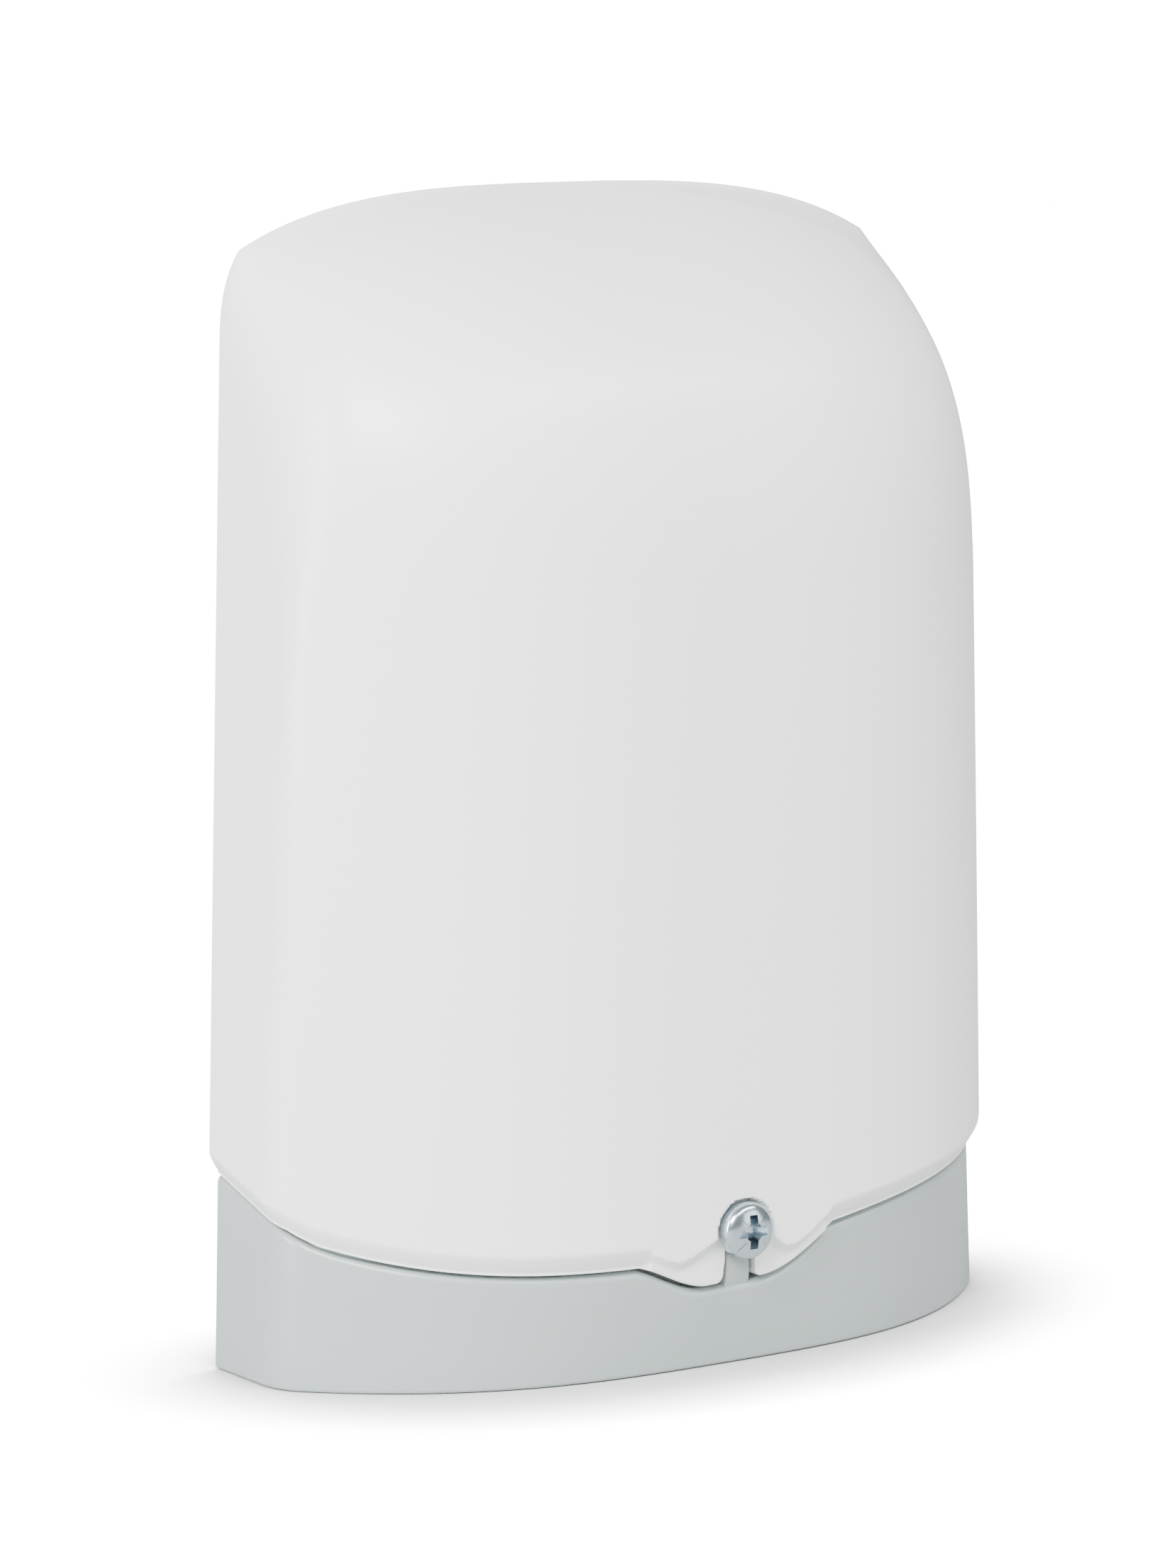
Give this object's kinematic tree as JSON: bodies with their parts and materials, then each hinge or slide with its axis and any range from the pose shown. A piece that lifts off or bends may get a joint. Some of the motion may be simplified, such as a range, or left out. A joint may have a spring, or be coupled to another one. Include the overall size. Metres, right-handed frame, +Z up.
{
  "type": "motion sensor",
  "caption": "Wall-mounted microwave motion sensor: bowed plain cover that rolls back to the wall, held by a screw on a grey housing with boards and terminals inside.",
  "frame": {"origin": "centre of the housing's flat rear face, on the wall, 70 mm above the underside", "axes": "+Z up along the wall, +Y into the wall, the front faces -Y, +X to the right seen from the front"},
  "size_m": [0.1046, 0.0403, 0.1413],
  "materials": {
    "cover_white": "fine spark-eroded grain, satin",
    "housing_grey": "smooth satin moulding",
    "zinc_plate": "bright blue-passivated zinc plate",
    "nylon_natural": "natural nylon, satin",
    "board_green": "solder-resist lacquer",
    "terminal_green": "glass-filled polyamide",
    "relay_blue": "moulded polyester",
    "ferrite": "sintered ferrite, matt",
    "copper_wire": "enamelled copper wire",
    "capacitor_sleeve": "shrunk sleeve on an aluminium can",
    "film_yellow": "moulded box with resin fill",
    "black_plastic": "moulded epoxy",
    "ceramic_blue": "dipped epoxy coat",
    "red_lens": "tinted epoxy lens",
    "plunger_red": "moulded acetal",
    "radar_laminate": "low-loss laminate with solder resist",
    "tinned_steel": "hot-tinned sheet steel",
    "rubber_grey": "matt EPDM",
    "spring_steel": "drawn stainless wire"
  },
  "bodies": {
    "housing": {"rear_housing": "housing_grey", "cable_grommet": "rubber_grey", "main_board": "board_green", "terminal_block": "terminal_green", "relay": "relay_blue", "transformer_core": "ferrite", "transformer_winding": "copper_wire", "bulk_capacitor": "capacitor_sleeve", "output_capacitor": "capacitor_sleeve", "film_capacitor": "film_yellow", "fuse": "black_plastic", "varistor": "ceramic_blue", "controller_chip": "black_plastic", "status_led": "red_lens", "radar_board": "radar_laminate", "radar_shield": "tinned_steel", "radar_pin_header": "black_plastic", "radar_spacer_1": "nylon_natural", "radar_spacer_2": "nylon_natural", "tamper_switch": "black_plastic", "tamper_spring": "spring_steel", "board_screw_1": "zinc_plate", "board_screw_2": "zinc_plate", "board_screw_3": "zinc_plate", "board_screw_4": "zinc_plate", "trimmer_body_1": "relay_blue", "trimmer_body_2": "relay_blue", "trimmer_body_3": "relay_blue"},
    "cover": {"front_cover": "cover_white"},
    "screw_washer": {"screw_washer": "nylon_natural"},
    "cover_screw": {"cover_screw": "zinc_plate"},
    "tamper_plunger": {"tamper_plunger": "plunger_red"},
    "trimmer_knob_1": {"trimmer_knob_1": "nylon_natural"},
    "trimmer_knob_2": {"trimmer_knob_2": "nylon_natural"},
    "trimmer_knob_3": {"trimmer_knob_3": "nylon_natural"},
    "terminal_screw_1": {"terminal_screw_1": "zinc_plate"},
    "terminal_screw_2": {"terminal_screw_2": "zinc_plate"},
    "terminal_screw_3": {"terminal_screw_3": "zinc_plate"},
    "terminal_screw_4": {"terminal_screw_4": "zinc_plate"},
    "terminal_screw_5": {"terminal_screw_5": "zinc_plate"}
  },
  "joints": [
    {"name": "cover_lift", "type": "slide", "parent": "housing", "child": "cover", "axis": [0, 0, 1], "range_m": [0, 0.135]},
    {"name": "cover_screw_turn", "type": "hinge", "parent": "screw_washer", "child": "cover_screw", "pos_m": [0, -0.0378, -0.053], "axis": [0, -1, 0], "range_deg": [0, 1662]},
    {"name": "cover_screw_travel", "type": "slide", "parent": "housing", "child": "screw_washer", "axis": [0, -1, 0], "range_m": [0, 0.006]},
    {"name": "tamper_press", "type": "slide", "parent": "housing", "child": "tamper_plunger", "axis": [0, 1, 0], "range_m": [0, 0.0012], "stiffness_N_per_m": 300, "springref_m": -0.0004, "deforming": ["tamper_spring"]},
    {"name": "trimmer_1_turn", "type": "hinge", "parent": "housing", "child": "trimmer_knob_1", "pos_m": [-0.031, -0.015, 0.002], "axis": [0, -1, 0], "range_deg": [-135, 135]},
    {"name": "trimmer_2_turn", "type": "hinge", "parent": "housing", "child": "trimmer_knob_2", "pos_m": [-0.018, -0.015, 0.002], "axis": [0, -1, 0], "range_deg": [-135, 135]},
    {"name": "trimmer_3_turn", "type": "hinge", "parent": "housing", "child": "trimmer_knob_3", "pos_m": [-0.005, -0.015, 0.002], "axis": [0, -1, 0], "range_deg": [-135, 135]},
    {"name": "terminal_screw_1_turn", "type": "hinge", "parent": "housing", "child": "terminal_screw_1", "pos_m": [-0.02416, -0.019, -0.0276], "axis": [0, -1, 0], "range_deg": [0, 1080]},
    {"name": "terminal_screw_2_turn", "type": "hinge", "parent": "housing", "child": "terminal_screw_2", "pos_m": [-0.01908, -0.019, -0.0276], "axis": [0, -1, 0], "range_deg": [0, 1080]},
    {"name": "terminal_screw_3_turn", "type": "hinge", "parent": "housing", "child": "terminal_screw_3", "pos_m": [-0.014, -0.019, -0.0276], "axis": [0, -1, 0], "range_deg": [0, 1080]},
    {"name": "terminal_screw_4_turn", "type": "hinge", "parent": "housing", "child": "terminal_screw_4", "pos_m": [-0.00892, -0.019, -0.0276], "axis": [0, -1, 0], "range_deg": [0, 1080]},
    {"name": "terminal_screw_5_turn", "type": "hinge", "parent": "housing", "child": "terminal_screw_5", "pos_m": [-0.00384, -0.019, -0.0276], "axis": [0, -1, 0], "range_deg": [0, 1080]}
  ],
  "couplings": [
    {"joint": "cover_screw_turn", "follows": "cover_screw_travel", "rad_per_m": 4833.2}
  ]
}
